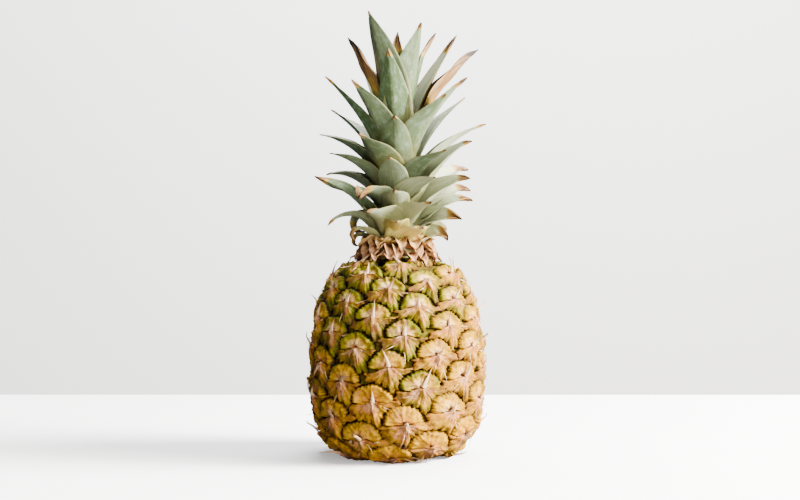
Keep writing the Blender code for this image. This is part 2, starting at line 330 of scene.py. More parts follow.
def bract_material():
    """The bracts. fan runs from -1 at the left wing to 1 at the right, and reach from root to edge."""
    s = Shader("dry_bracts")
    fan, reach, eye = s.value("fan"), s.value("reach"), s.value("eye")
    sideways = s.math("ABSOLUTE", fan)
    fibres = s.noise(1.6, 7.0, 0.75, s.vector(s.times(fan, 12.0), s.times(reach, 1.3), eye))
    patch = s.noise(150.0, 4.0, 0.6)
    where = s.plus(s.swayed(reach, patch, 1.2), s.times(sideways, 0.12))
    paper = s.colours(
        where, (0.0, 244, 186, 134), (0.25, 220, 148, 94), (0.46, 194, 116, 54),
        (0.6, 206, 138, 2), (0.76, 200, 150, 0), (1.0, 136, 100, 0),
    )
    fleshy = s.colours(
        where, (0.0, 240, 184, 134), (0.25, 212, 146, 96), (0.46, 182, 114, 54),
        (0.6, 182, 134, 0), (0.74, 140, 136, 0), (1.0, 84, 86, 0),
    )
    s.colour = paper
    s.paint(s.spread(s.value("green"), 0.25, 0.8), fleshy)
    tips = s.times(s.spread(sideways, 0.5, 0.95), s.spread(reach, 0.4, 0.8))
    s.paint(tips, (176, 104, 44), 0.4)
    pale = s.times(s.spread(fibres, 0.54, 0.6), s.spread(where, 0.85, 0.45))
    s.paint(pale, (255, 226, 190), 0.75)
    dark = s.times(s.spread(fibres, 0.44, 0.36), s.spread(reach, 1.0, 0.5))
    s.paint(dark, (112, 72, 48), 0.75)
    # Patches of brown dirt, the bract's own colour.
    dirt_and_crevice_shade = s.patches(60.0, 5.0, 0.65, 0.48, 0.62)
    s.paint(dirt_and_crevice_shade, (124, 84, 60), 0.45)
    speck = s.patches(520.0, 4.0, 0.7, 0.56, 0.64)
    s.paint(speck, (110, 66, 36), 0.5)
    blush = s.patches(110.0, 3.0, 0.55, 0.52, 0.66)
    s.paint(blush, (206, 138, 16), 0.4)
    s.paint(s.value("pane"), (136, 108, 16), 0.85)
    # Painted shade: the bract's edges, tucked down into the gaps, are near black.
    s.paint(s.spread(reach, 1.0, 1.06), (30, 19, 8))
    s.mottle(210.0, 0.55)
    # Painted shade in the crevices round each bract.
    s.dirt_and_crevice_shade(6 * MM, (0.13, 0.075, 0.03), 0.8)
    return s.finish(0.8, fibres, 0.9, 0.5 * MM, Specular_IOR_Level=0.15)


def spine_material():
    """Spines and slivers, pale at the root and dark at the tip. Whole patches are scorched, and the spines
    are also darker within about a centimetre of the table.
    """
    s = Shader("spines")
    grain = s.noise(700.0, 3.0)
    s.colour = s.colours(
        s.value("reach"), (0.0, 236, 192, 156), (0.4, 244, 204, 164), (0.75, 196, 142, 102),
        (1.0, 84, 52, 36),
    )
    s.paint(s.spread(grain, 0.5, 0.75), (120, 84, 62), 0.5)
    height = s.node("ShaderNodeSeparateXYZ", {"Vector": s.place()}).outputs["Z"]
    # darker towards the table, from about 12 mm above it down
    near_table = s.spread(height, 12 * MM, 4 * MM)
    dark_patches_and_foot = s.greater(s.spread(s.noise(34.0, 2.0), 0.5, 0.6), near_table)
    s.paint(dark_patches_and_foot, (112, 72, 48), 0.7)
    return s.finish(0.7, grain, 0.3, Specular_IOR_Level=0.25)


def leaf_material():
    """Crown leaves. along runs up from the root, across from -1 to 1, and inner marks the hollow face."""
    s = Shader("crown_leaves")
    along, across, leaf = s.value("along"), s.value("across"), s.value("leaf")
    pale, creamy = s.value("pale"), s.value("cream")
    veins = s.noise(1.7, 3.0, 0.6, s.vector(s.times(across, 15.0), s.times(along, 0.9), leaf))
    bloom = s.noise(1.6, 4.0, 0.6, s.vector(s.times(across, 2.2), s.times(along, 5.0), leaf))
    fine = s.noise(1200.0, 2.0)
    s.colour = s.colours(veins, (0.25, 62, 82, 42), (0.5, 78, 100, 60), (0.75, 104, 128, 90))
    s.paint(s.spread(bloom, 0.45, 0.7), (138, 164, 144), 0.55)
    s.paint(s.spread(bloom, 0.42, 0.2), (76, 96, 40), 0.6)
    yellow = s.colours(veins, (0.25, 196, 180, 0), (0.5, 240, 208, 20), (0.75, 255, 232, 84))
    s.paint(pale, yellow)
    # Painted light: cream-white where the window lights the leaves and shines through them, and on their
    # hollow faces.
    cream = s.colours(veins, (0.3, 192, 204, 166), (0.7, 250, 252, 222))
    s.paint(s.greater(s.value("inner"), creamy), cream, 0.8)
    edge = s.math("ABSOLUTE", across)
    margin = s.spread(s.swayed(edge, bloom, 0.08), 0.94, 0.99)
    s.paint(margin, (176, 156, 92), 0.5)
    keel = s.times(s.spread(edge, 0.06, 0.0), s.spread(bloom, 0.4, 0.6))
    s.paint(keel, (204, 190, 120), 0.35)
    scar = s.patches(70.0, 6.0, 0.7, 0.66, 0.7)
    s.paint(scar, (120, 100, 52), 0.5)
    worn = s.swayed(s.value("dry"), bloom, 0.5)
    s.paint(s.spread(worn, 0.3, 0.5), (186, 146, 50))
    husk = s.colours(veins, (0.3, 88, 58, 34), (0.5, 140, 100, 58), (0.72, 204, 162, 100))
    s.paint(s.spread(worn, 0.44, 0.7), husk)
    s.paint(s.spread(worn, 1.0, 1.25), (40, 28, 22))
    # Painted shade where the leaves crowd together, taken back a little where a leaf is painted cream or
    # yellow.
    unshaded = s.colour
    s.dirt_and_crevice_shade(20 * MM, (0.16, 0.18, 0.1), 0.9)
    s.paint(s.greater(creamy, pale), unshaded, 0.2)
    height = s.plus(s.times(veins, 0.9), s.times(fine, 0.1))
    roughness = s.ramp(bloom, [(0.3, 0.42), (0.7, 0.56)])
    return s.finish(roughness, height, 0.45, 0.35 * MM, Specular_IOR_Level=0.4)


def husk_material():
    """The collar's husks, dry and brown, of which the pale ones are still yellow at the root."""
    s = Shader("dry_husks")
    across, along, leaf = s.value("across"), s.value("along"), s.value("leaf")
    fibres = s.noise(1.8, 5.0, 0.7, s.vector(s.times(across, 9.0), s.times(along, 1.4), leaf))
    patch = s.noise(150.0, 3.0)
    dry = s.colours(
        fibres, (0.25, 110, 70, 48), (0.42, 188, 132, 92), (0.58, 236, 182, 134),
        (0.75, 255, 222, 182),
    )
    fresh = s.colours(fibres, (0.3, 216, 160, 40), (0.5, 250, 208, 90), (0.7, 255, 240, 170))
    s.colour = dry
    s.paint(s.times(s.value("pale"), s.spread(along, 0.55, 0.35)), fresh)
    s.paint(s.spread(patch, 0.45, 0.3), (110, 74, 50), 0.6)
    # Painted shade in the folds between the husks.
    s.dirt_and_crevice_shade(8 * MM, (0.2, 0.13, 0.08), 0.75)
    return s.finish(0.8, fibres, 0.7, 0.5 * MM, Specular_IOR_Level=0.2)


def stem_material(name, dark, light):
    """Plain fibrous tissue between these two colours, as screen levels."""
    s = Shader(name)
    rings = s.noise(500.0, 5.0, 0.7)
    s.colour = s.colours(rings, (0.3, *dark), (0.7, *light))
    return s.finish(0.8, rings, 0.6)


# --- Fruit


def fruit_radius(height):
    """The smooth fruit's radius at this height."""
    up = climb(height, WIDEST_HEIGHT, UPPER_HEIGHT)
    down = np.clip((WIDEST_HEIGHT - height) / LOWER_HEIGHT, 0, 1)
    upper = (1 - up ** UPPER_SHAPE[0]) ** (1 / UPPER_SHAPE[1])
    lower = (1 - down ** LOWER_SHAPE[0]) ** (1 / LOWER_SHAPE[1])
    return FRUIT_RADIUS * np.where(height > WIDEST_HEIGHT, upper, lower)


def fruit_excess(points):
    """Zero on the smooth fruit and above zero outside it; and the slope of that, which points outwards."""
    flat = np.hypot(points[..., 0], points[..., 1])
    rise = points[..., 2] - WIDEST_HEIGHT
    reach = np.where(rise > 0, UPPER_HEIGHT, LOWER_HEIGHT)
    power_up = np.where(rise > 0, UPPER_SHAPE[0], LOWER_SHAPE[0])
    power_out = np.where(rise > 0, UPPER_SHAPE[1], LOWER_SHAPE[1])
    out, up = flat / FRUIT_RADIUS, np.abs(rise) / reach
    excess = out**power_out + up**power_up - 1
    slope_out = power_out * out ** (power_out - 1) / FRUIT_RADIUS
    slope_up = power_up * up ** (power_up - 1) / reach * np.sign(rise)
    safe = np.maximum(flat, 1e-6)
    slope_x, slope_y = slope_out * points[..., 0] / safe, slope_out * points[..., 1] / safe
    return excess, np.stack([slope_x, slope_y, slope_up], axis=-1)


class Eye:
    """One fruitlet's own frame on the skin: right and up along it, and out of it, from its spine's root."""

    def __init__(self, number, root, turn):
        self.number, self.root, self.turn = number, root, turn
        slope = fruit_excess(root)[1]
        self.out = slope / np.linalg.norm(slope)
        self.right = np.array([math.cos(math.radians(turn)), math.sin(math.radians(turn)), 0.0])
        self.up = np.cross(self.out, self.right)
        self.luck = rng.random(8)

    def meet(self, others):
        """Finds the neighbours' places in this eye's own plane, and this eye's scale."""
        steps = np.array([other.root - self.root for other in others if other is not self])
        reach = np.linalg.norm(steps, axis=1)
        near = np.argsort(reach)[:8]
        flat = np.stack([steps[near] @ self.right, steps[near] @ self.up], axis=-1)
        flat *= (reach[near] / np.maximum(np.linalg.norm(flat, axis=1), 1e-6))[:, None]
        self.neighbours = flat
        self.scale = float(np.mean(np.sort(reach)[:4])) / EYE_SPACING

    def lay(self, x, y, height):
        """Points this far right, up and out of the skin, which is followed as it curves away."""
        x, y, height = np.broadcast_arrays(x, y, height)
        points = self.root + x[..., None] * self.right + y[..., None] * self.up
        for _ in range(8):
            excess, slope = fruit_excess(points)
            along = np.maximum(slope @ self.out, 2e-3)
            points = points - np.clip(excess / along, -4, 4)[..., None] * self.out
        slope = fruit_excess(points)[1]
        points = points + height[..., None] * slope / np.linalg.norm(slope, axis=-1, keepdims=True)
        points[..., 2] = np.maximum(points[..., 2], TABLE_CLEARANCE)
        return points


def find_eyes():
    """The eyes of the CAD model's spiral, from the bottom up."""
    bottom, top = WIDEST_HEIGHT - LOWER_HEIGHT, WIDEST_HEIGHT + UPPER_HEIGHT
    heights = bottom + (top - bottom) * (1 - np.cos(np.linspace(0, math.pi, 4001))) / 2
    radii = fruit_radius(heights)
    bands = math.pi * (radii[1:] + radii[:-1]) * np.hypot(np.diff(heights), np.diff(radii))
    area = np.concatenate([[0.0], np.cumsum(bands)])
    eyes = []
    for number in range(int(EYE_COUNT)):
        share = (number + FIRST_EYE_SHARE) / EYE_COUNT
        share += EYE_SWELL * share * (1 - share)
        height = np.interp(share * area[-1], area, heights)
        turn = FIRST_EYE_TURN + 90 - EYE_TURN * number
        side = direction(turn)
        lift = -EYE_TILT * side[1] * fruit_radius(height) / FRUIT_RADIUS
        height = min(max(height + lift, bottom + 0.05), top - 0.05)
        root = side * fruit_radius(height) + np.array([0, 0, height])
        eyes.append(Eye(number, root, turn))
    for eye in eyes:
        eye.meet(eyes)
    return eyes


def waves(count, size):
    """Directions, lengths and phases of the waves that together make a lumpy surface of about this size."""
    ways = rng.normal(size=(count, 3))
    ways /= np.linalg.norm(ways, axis=1, keepdims=True)
    return ways / (size * rng.uniform(0.7, 1.5, (count, 1))), rng.uniform(0, 1, count)


def lumps(points, kind):
    """Smooth lumps, between about -1 and 1, at these places."""
    ways, phases = kind
    return np.sin(2 * math.pi * (points @ ways.T + phases)).sum(axis=-1) / math.sqrt(len(phases)) / 1.2


BIG_LUMPS, SMALL_LUMPS, CRUMBS = waves(9, 9.0), waves(11, 3.6), waves(13, 1.7)


def roughen(points, outward, big, small, crumbs):
    """The points moved outwards by lumps of three sizes, each by this much at most."""
    height = big * lumps(points, BIG_LUMPS) + small * lumps(points, SMALL_LUMPS)
    height = height + crumbs * lumps(points, CRUMBS)
    moved = points + height[..., None] * outward
    moved[..., 2] = np.maximum(moved[..., 2], TABLE_CLEARANCE)
    return moved


def greenness(eye):
    """Greener towards the top and golden at the bottom. The left side, away from the window, is also greener
    and darker, which is painted shade.
    """
    height = eye.root[2] / (WIDEST_HEIGHT + UPPER_HEIGHT)
    # Painted shade: the left side is made greener and darker.
    left = -math.sin(math.radians(eye.turn))
    return float(np.clip(0.04 + 0.85 * height**1.5 + 0.10 * left + 0.75 * (eye.luck[0] - 0.5), 0, 1))


def bump(place, middle, width):
    """1 at the middle, falling away smoothly to about a third at this distance from it."""
    return np.exp(-(((place - middle) / width) ** 2))


def add_dome(build, eye):
    """The eye's scalloped dome. The half under the bract is coarser and lies lower."""
    above = np.linspace(-22, 202, 74, endpoint=False)
    below = np.linspace(202, 338, 10, endpoint=False)
    rings = np.array([0.0, 0.07, 0.16, 0.3, 0.45, 0.6, 0.7, 0.78, 0.85, 0.91, 0.96, 1.0, 1.03])
    ring, angle = np.meshgrid(rings, np.radians(np.concatenate([above, below])), indexing="ij")
    shown = climb(np.sin(angle), -0.42, 0.25)
    teeth = 25 + round(6 * eye.luck[1])
    bite = np.cos(teeth * angle + 6 * eye.luck[2] + 1.5 * np.sin(4 * angle + 6 * eye.luck[3]))
    bite = bite * (0.45 + 0.55 * np.sin(2.5 * angle + 7 * eye.luck[3]) ** 2)
    edge = climb(ring, 0.74, 0.18)
    wobble = 0.05 * np.sin(2 * angle + 9 * eye.luck[4]) + 0.04 * np.sin(5 * angle + 9 * eye.luck[5])
    radius = DOME_RADIUS * eye.scale * ring * (1 + (wobble + 0.026 * bite * edge) * np.clip(ring * 2, 0, 1))
    radius = radius * (0.62 + 0.38 * shown)
    swell = 1.7 + 0.8 * eye.luck[6]
    height = (swell + 0.9) * (1 - ring**5) - 2.1
    height += 1.4 * bump(ring, 0.82, 0.14) * (0.6 + 0.8 * eye.luck[7])
    height += 0.55 * bite * edge * (ring <= 1.0)
    height -= 1.4 * bump(ring, 0.0, 0.09)
    height += 0.35 * bump(ring, 0.25, 0.12) * np.sin(5 * angle + 8 * eye.luck[7])
    x = DOME_OFFSET[0] * eye.scale + radius * np.cos(angle)
    y = DOME_OFFSET[1] * eye.scale + DOME_SQUASH * radius * np.sin(angle)
    height -= 0.06 * y
    height -= 1.8 * (1 - shown) * np.clip(ring * 2, 0, 1)
    height = np.where(ring > 1.01, -GAP_DEPTH - 0.6, height)
    points = roughen(eye.lay(x, y, height), eye.out, 0.6, 0.5, 0.22)
    build.add_grid(
        points,
        wrap=True,
        flip=True,
        rim=ring + np.where(ring > 1.01, 0.06, 0),
        turn=angle,
        eye=eye.number * 1.7,
        lobe=bite * edge,
        # each dome is painted greener and darker towards its upper left, as painted shade on the side away
        # from the window
        green=greenness(eye) + 0.12 * np.cos(angle - 2.6),
        gold=float(np.clip(1.15 - eye.root[2] / 70 + 1.1 * (eye.luck[3] - 0.5), 0, 1)),
    )


def bract_reach(eye, angle):
    """How far the bract reaches in each direction before it meets a neighbour's dome. It is found in a plane
    that is stretched until the domes are round."""
    reach = np.full(angle.shape, BRACT_REACH * eye.scale)
    ray = np.stack([np.cos(angle), np.sin(angle)], axis=-1) / (1, DOME_SQUASH)
    radius = (DOME_RADIUS + 0.9) * eye.scale
    stretch = np.linalg.norm(ray, axis=-1)
    ray = ray / stretch[..., None]
    for place in eye.neighbours:
        middle = (place + np.array(DOME_OFFSET) * eye.scale) / (1, DOME_SQUASH)
        along = ray @ middle
        square = radius**2 - (middle @ middle - along**2)
        entry = (along - np.sqrt(np.maximum(square, 0))) / stretch
        reach = np.where((square > 0) & (along > 0), np.minimum(reach, np.maximum(entry, 3.0)), reach)
    return reach


def add_bract(build, eye):
    """The bract under the eye's spine: two wings, a ribbed skirt, and edges tucked down out of sight."""
    left, right = BRACT_EDGES[0] - 14 * eye.luck[1], BRACT_EDGES[1] + 14 * eye.luck[2]
    spread = np.linspace(0, 1, 57)
    turn = np.concatenate([[left - 4], left + (right - left) * spread, [right + 4]])
    fan = np.concatenate([[-1.0], 2 * spread - 1, [1.0]])
    rows = np.array([0.02, 0.1, 0.18, 0.27, 0.36, 0.45, 0.54, 0.63, 0.72, 0.81, 0.89, 0.95, 1.0, 1.05])
    reach_of, angle = np.meshgrid(rows, np.radians(turn), indexing="ij")
    fan = np.broadcast_to(fan, angle.shape)
    frayed = 1 + 0.06 * np.sin(23 * fan + 9 * eye.luck[3]) + 0.05 * np.sin(47 * fan + 7 * eye.luck[4])
    reach = bract_reach(eye, angle) * frayed
    tucked = np.abs(np.arange(angle.shape[1]) - (angle.shape[1] - 1) / 2) > (angle.shape[1] - 2) / 2
    radius = reach * reach_of
    x, y = radius * np.cos(angle), radius * np.sin(angle)
    wing = climb(np.abs(fan), 0.5, 0.5) ** 2
    arch = np.sin(math.pi * np.minimum(reach_of, 1))
    torn = np.sin(9 * reach_of + 9 * eye.luck[5]) + 0.7 * np.sin(21 * reach_of + 5 * fan + 9 * eye.luck[6])
    y = y - (0.6 * arch - 0.5 * torn * np.minimum(reach_of * 2, 1)) * eye.scale * wing
    ribs = np.sin(17 * fan + 2.0 * np.sin(3 * reach_of + 9 * eye.luck[2]) + 6 * eye.luck[5])
    ribs += 0.5 * np.sin(36 * fan + 1.6 * reach_of + 6 * eye.luck[6])
    plump = np.maximum(1 - reach_of**2.6, 0)
    keel = 0.7 * np.sqrt(reach_of) * plump * (1 - np.abs(fan)) ** 3
    height = (3.1 - 0.9 * np.abs(fan)) * plump + keel - 1.0
    height += 0.8 * bump(reach_of, 0.0, 0.16)
    height += 0.15 * ribs * np.clip(arch * 1.4, 0, 1)
    height += wing * np.minimum(reach_of, 1) * (0.6 + 1.8 * eye.luck[7])
    pane = bump(x, -0.8, 1.7) * bump(y, -4.6 * eye.scale, 2.6) * (eye.luck[0] > 0.55)
    height += 0.5 * pane
    height = np.where(reach_of > 1.01, -GAP_DEPTH - 0.4, height)
    height = np.where(tucked, np.minimum(height - 2.4, -0.9), height)
    points = roughen(eye.lay(x, y, height), eye.out, 0.6, 0.45, 0.2)
    build.add_grid(
        points,
        flip=True,
        fan=fan,
        reach=reach_of + np.where(reach_of > 1.01, 0.05, 0),
        eye=eye.number * 2.3,
        green=greenness(eye),
        pane=np.clip(pane * 1.6, 0, 1),
    )


def add_tube(build, path, widths, thicknesses, side, **values):
    """A tapering tube of eight sides along the path; side is the way its width lies."""
    tangent = np.gradient(path, axis=0)
    tangent /= np.linalg.norm(tangent, axis=1, keepdims=True)
    across = side - (tangent @ side)[:, None] * tangent
    across /= np.linalg.norm(across, axis=1, keepdims=True)
    face = np.cross(tangent, across)
    angle = np.linspace(0, 2 * math.pi, 8, endpoint=False)
    ring = (
        across[:, None] * (widths[:, None] * np.cos(angle))[..., None]
        + face[:, None] * (thicknesses[:, None] * np.sin(angle))[..., None]
    )
    points = path[:, None] + ring
    points[..., 2] = np.maximum(points[..., 2], TABLE_CLEARANCE)
    share = np.linspace(0, 1, len(path))[:, None]
    build.add_grid(points, wrap=True, reach=share, **values)


def curl_out(build, eye, start, length, lean, lift, curl, width):
    """A thin dry strip that starts in the eye's own frame; lean, lift and curl are degrees."""
    steps = np.linspace(0, 1, 11)
    heading = np.radians(90 + lean + 0.5 * curl[0] * steps)
    rise = np.radians(lift + curl[1] * steps)
    stride = length / len(steps)
    step = stride * (
        (np.cos(heading) * np.cos(rise))[:, None] * eye.right
        + (np.sin(heading) * np.cos(rise))[:, None] * eye.up
        + np.sin(rise)[:, None] * eye.out
    )
    path = start + np.cumsum(step, axis=0)
    path[:, 2] = np.maximum(path[:, 2], 0.6)
    reach = np.hypot(path[:, 0], path[:, 1])
    path[:, :2] *= (np.minimum(reach, SPINE_LIMIT) / np.maximum(reach, 1e-6))[:, None]
    widths = width * (0.5 * (1 - steps) ** 3 + 0.85 * (1 - steps) ** 0.8 + 0.06)
    add_tube(build, path, widths, 0.6 * widths + 0.07, eye.right)


def add_spine(build, eye):
    """A thin dry spine that rises from the bract and curls, or lies over, or hangs broken."""
    luck = rng.random(7)
    lean, lift = 76 * (luck[1] - 0.5), 12 + 38 * luck[2]
    curl = (230 * (luck[3] - 0.5), 100 * (luck[5] - 0.5))
    if luck[4] > 0.8:
        lean, lift, curl = lean + 180, 25, (60 * (luck[3] - 0.5), -50)
    start = eye.lay(0.0, -0.8, 1.0)
    curl_out(build, eye, start, eye.scale * (9 + 7 * luck[0]), lean, lift, curl, 1.15 * eye.scale)


def add_shreds(build, eye):
    """Torn slivers of the bract, which stand off its ribs, its wings and its lower edge."""
    for _ in range(2 if eye.root[2] > 14 else 6):
        luck = rng.random(7)
        turn = 180 + 180 * luck[0]
        place = eye.scale * (1.5 + 8.5 * luck[1])
        x, y = place * math.cos(math.radians(turn)), place * math.sin(math.radians(turn))
        start = eye.lay(x, y, 0.9 - 0.09 * place)
        lean = turn - 90 + 60 * (luck[2] - 0.5)
        curl = (160 * (luck[4] - 0.5), 110 * (luck[5] - 0.6))
        length = eye.scale * (6 + 8 * luck[3])
        curl_out(build, eye, start, length, lean, 2 + 12 * luck[6], curl, 0.2 + 0.2 * luck[1])


def add_floor_of_gaps(build):
    """The dark skin between the eyes, which also closes the fruit below and above."""
    heights = np.concatenate([[POCKET_DEPTH, POCKET_DEPTH, 0.3], np.linspace(0.3, 132.0, 60), [132.0]])
    radii = fruit_radius(heights) - GAP_DEPTH
    radii[:3] = 0.01, POCKET_RADIUS, POCKET_RADIUS
    radii[-1] = 0.01
    turn = np.linspace(0, 360, 120, endpoint=False)
    points = direction(turn)[None] * radii[:, None, None] + heights[:, None, None] * np.array([0, 0, 1.0])
    build.add_grid(points, wrap=True)


def make_fruit():
    """The rind in four pieces. The eyes stand in for the CAD fruit, and the others come on top."""
    eyes = [eye for eye in find_eyes() if eye.root[2] > 1.0]
    domes, bracts, spines, gaps = Build(), Build(), Build(), Build()
    for eye in eyes:
        add_dome(domes, eye)
        add_bract(bracts, eye)
        add_spine(spines, eye)
        add_shreds(spines, eye)
    add_floor_of_gaps(gaps)
    domes.finish("fruit_eyes", rind_material(), "rind", ["fruit"])
    bracts.finish("fruit_bracts", bract_material(), "rind")
    spines.finish("fruit_spines", spine_material(), "rind")
    gaps.finish("fruit_gaps", gap_material(), "rind")


# --- Blades: crown leaves and husks

ROWS, COLUMNS = 40, 17
STEPS = np.linspace(0, 1, ROWS)  # each row's share of the way from the root to the tip

PLAIN_LOOK = dict(
    wide=1.0,  # width, as a share of the width asked for
    broad=0.3,  # where it begins to taper, as a share of its length from the root
    shape=1.5,  # the higher, the longer it stays wide before it tapers
    point=0.95,  # the lower, the blunter its tip
    thick=1.2,  # wall at the root, in millimetres
    hollow=0.62,  # how far the rims stand up over the middle, as a share of half the width
    fold=1.25,  # 1 is a sharp keel, 2 a round channel
    ripple=0.15,  # waves along the rims, in millimetres
    curl=0.0,  # degrees that the tip bends further out and down
    curl_from=0.6,  # where that bend begins
    swing=0.0,  # degrees that the tip swings sideways
    twist=0.0,  # degrees that the tip turns about the blade's length
    tilt=0.0,  # degrees that the whole blade is turned about its length
    dry=0.07,  # share of the length, from the tip, that is brown
    dry_edge=0.0,  # how brown its rims are
    roll=0.6,  # how far the dry part rolls in
    pale=0.0,  # how yellow the blade is
    pale_root=0.0,  # how yellow its root is besides
    cream=0.0,  # how cream-white it is painted, as painted light on and through the leaf
    bright_inside=0.4,  # how cream-white its hollow face is painted, as painted light
)

BLUNT = dict(wide=0.82, shape=2.3, point=0.75, hollow=0.24, fold=1.8, curl=-20, swing=0, twist=0, dry=0.05)
# The right-hand leaves, which face the window: their cream-white colour and their bright hollow faces are
# painted light.
CREAM = dict(wide=1.3, curl=24, curl_from=0.75, tilt=38, dry=0.24, pale=0.25, cream=1.0, bright_inside=0.8)
TALL = dict(wide=1.02, shape=1.7, hollow=0.5, fold=1.2, curl=0, swing=0, twist=0)

# The looks of the leaves that the photo shows. The others get a plain look with some luck in it
LOOKS = {
    "front_1": dict(BLUNT, shape=3.0, hollow=0.6, pale=0.9, cream=0.3),
    "front_2": dict(BLUNT, shape=2.6, hollow=0.5, pale=0.2, cream=0.55),
    "front_3": dict(BLUNT, cream=0.35),
    "front_4": dict(TALL, wide=0.86, shape=2.2, point=0.85, hollow=0.36, fold=1.7, cream=0.12),
    "front_5": dict(TALL, dry=0.1),
    "front_left_1": dict(BLUNT, wide=1.5, hollow=0.7, curl=-40, dry=0.1, pale=0.3, cream=0.45),
    "front_left_2": dict(wide=1.2, shape=2.5, hollow=0.5, fold=2.0, curl=40, dry=0.3, roll=1.0),
    "front_left_3": dict(wide=1.2, shape=2.0, hollow=0.4, fold=1.5, curl=-16, twist=-15, dry=0.1, pale=0.15),
    "front_left_4": dict(TALL, wide=1.12, cream=0.12),
    "front_left_5": dict(TALL, wide=1.3, shape=2.1, swing=-6, dry=0.04, cream=0.15),
    "front_right_1": dict(BLUNT, wide=1.5, hollow=0.5, curl=-40, dry=0.07, pale=1.0, cream=0.4),
    "front_right_2": dict(wide=1.15, shape=2.0, hollow=0.7, fold=1.2, curl=-20, pale=0.5, cream=0.8),
    "front_right_3": dict(wide=1.25, fold=1.2, curl=-10, pale=0.15, cream=0.7),
    "front_right_4": dict(wide=1.15, fold=1.2, cream=0.15),
    "front_right_5": dict(TALL, wide=1.25, cream=0.1),
    "front_right_6": dict(TALL, wide=1.5, shape=1.9, swing=4, cream=0.1),
    "right_1": dict(CREAM, curl=60, dry=0.35, pale=0.9),
    "right_2": dict(CREAM, curl=30, twist=40, dry=0.3),
    "right_3": CREAM,
    "right_4": dict(CREAM, dry=0.2),
    "right_5": dict(CREAM, dry=0.12, cream=0.6),
    "right_6": dict(wide=1.2, dry=0.16, dry_edge=1.5, cream=0.25),
    "right_7": dict(wide=1.3, dry=0.3),
    "back_6": dict(wide=1.2, dry=0.25, dry_edge=1.2, bright_inside=0.0),
    "back_right_2": CREAM,
    "back_right_3": CREAM,
    "back_right_5": dict(dry=0.12, cream=0.6),
    "back_right_7": dict(dry=0.8, roll=0.9),
    "back_right_8": dict(curl=-8, swing=-14, dry=0.2, dry_edge=2.0, cream=0.6, bright_inside=1.0),
    "left_1": dict(wide=0.6, curl=170, dry=0.4, pale=0.5),
    "left_2": dict(wide=0.6, curl=150, dry=0.35, pale=0.4),
    "left_3": dict(curl=200, curl_from=0.45, dry=0.35),
    "left_4": dict(wide=0.8, curl=50, curl_from=0.4, dry=0.15),
    "left_5": dict(wide=0.85, twist=120, dry=0.2, dry_edge=1.2, roll=0.9, cream=0.1),
    "left_10": dict(dry=0.75, dry_edge=1.0, roll=1.0),
}

LEAF_BURIED = 0.12  # how far a leaf runs on below its CAD root, as a share of its length
LEAF_GATHER = 4.5  # how much nearer to the axis its root lies than in the CAD model
LEAF_WIDTH = 1.2  # its width, as a share of the CAD leaf's
LEAF_UNIT = 40.0  # the length over which the leaves' pattern repeats
LOW_TIP, LOW_SPAN = 240.0, 70.0  # below this height of its tip a leaf is painted creamier, over this span, as painted light on the lower leaves
LOWEST_TIP, LOWEST_SPAN = 178.0, 30.0  # the same for its curl, dryness and yellow
HEART_NUMBERS, HUSK_NUMBERS = 60, 100  # their blades' numbers, which shift the patterns, go up from these

HEART_LEAVES = 6
HEART_ROOT = (5.0, -12.0)  # how far from the axis, and how far over the top of the crown's stem
HEART_BEND = (8.5, 2.0)
HEART_TIP = (-1.0, 12.0)
HEART_WIDTH = 13.0

HUSK_LEVEL = -4.0  # from the foot of the CAD collar up to where the husks' heights are counted from
# Each layer's number of husks, the radius and height of their roots, how far out and how far down their tips
# lie, and how fresh they are
HUSK_LAYERS = (
    (10, 18.0, 13.0, 7.0, -8.0, 1.0),
    (15, 16.0, 15.0, 10.0, 9.0, 0.3),
    (15, 17.5, 10.5, 11.0, 9.0, 0.0),
    (15, 18.5, 4.5, 12.0, 4.0, 0.0),
)
HUSK_LOOK = dict(
    PLAIN_LOOK, broad=0.25, shape=1.2, thick=0.5, fold=1.8, ripple=0.4, curl_from=0.5, dry=0.15, roll=0.3,
    length=0.5,
)


def cad_rings(node):
    """The points of the CAD leaf's rings, from root to tip. They are found from the tip: its neighbours are
    the last ring, their neighbours are the ring before it, and so on."""
    bm = bmesh.new()
    bm.from_mesh(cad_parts[node].data)
    bmesh.ops.remove_doubles(bm, verts=bm.verts, dist=1e-6)
    lowest = min(bm.verts, key=lambda vert: vert.co.z)
    tip = max(bm.verts, key=lambda vert: (vert.co - lowest.co).length)
    rings, seen = [[tip]], {tip}
    while True:
        ring = []
        for vert in rings[-1]:
            for edge in vert.link_edges:
                other = edge.other_vert(vert)
                if other not in seen:
                    seen.add(other)
                    ring.append(other)
        if not ring:
            break
        rings.append(ring)
    points = [np.array([vert.co[:] for vert in ring]) / MM for ring in reversed(rings)]
    bm.free()
    return points


def leaf_course(node):
    """The turn of the CAD leaf's plane, its rings' middles there, as (radius, height), and its width."""
    rings = cad_rings(node)
    tip = rings[-1][0]
    turn = math.degrees(math.atan2(tip[0], -tip[1]))
    out, side = direction(turn), direction(turn + 90)
    places = [np.array([ring.mean(axis=0) @ out, ring[:, 2].mean()]) for ring in rings]
    width = max(np.ptp(ring @ side) for ring in rings)
    return turn, places, width


def bent_course(root, bend, tip, steps):
    """Points at these shares of the quadratic curve from root to tip, which leans towards the bend."""
    t = steps[:, None]
    return root * (1 - t) ** 2 + bend * 2 * t * (1 - t) + tip * t**2


def smooth_course(places, steps):
    """The quadratic curve through the course's root and tip that runs closest to the places between."""
    root, tip = places[0], places[-1]
    shares = np.linspace(0, 1, len(places))
    weight = 2 * shares * (1 - shares)
    rest = np.array(places) - np.outer((1 - shares) ** 2, root) - np.outer(shares**2, tip)
    return bent_course(root, (weight @ rest) / (weight @ weight), tip, steps)


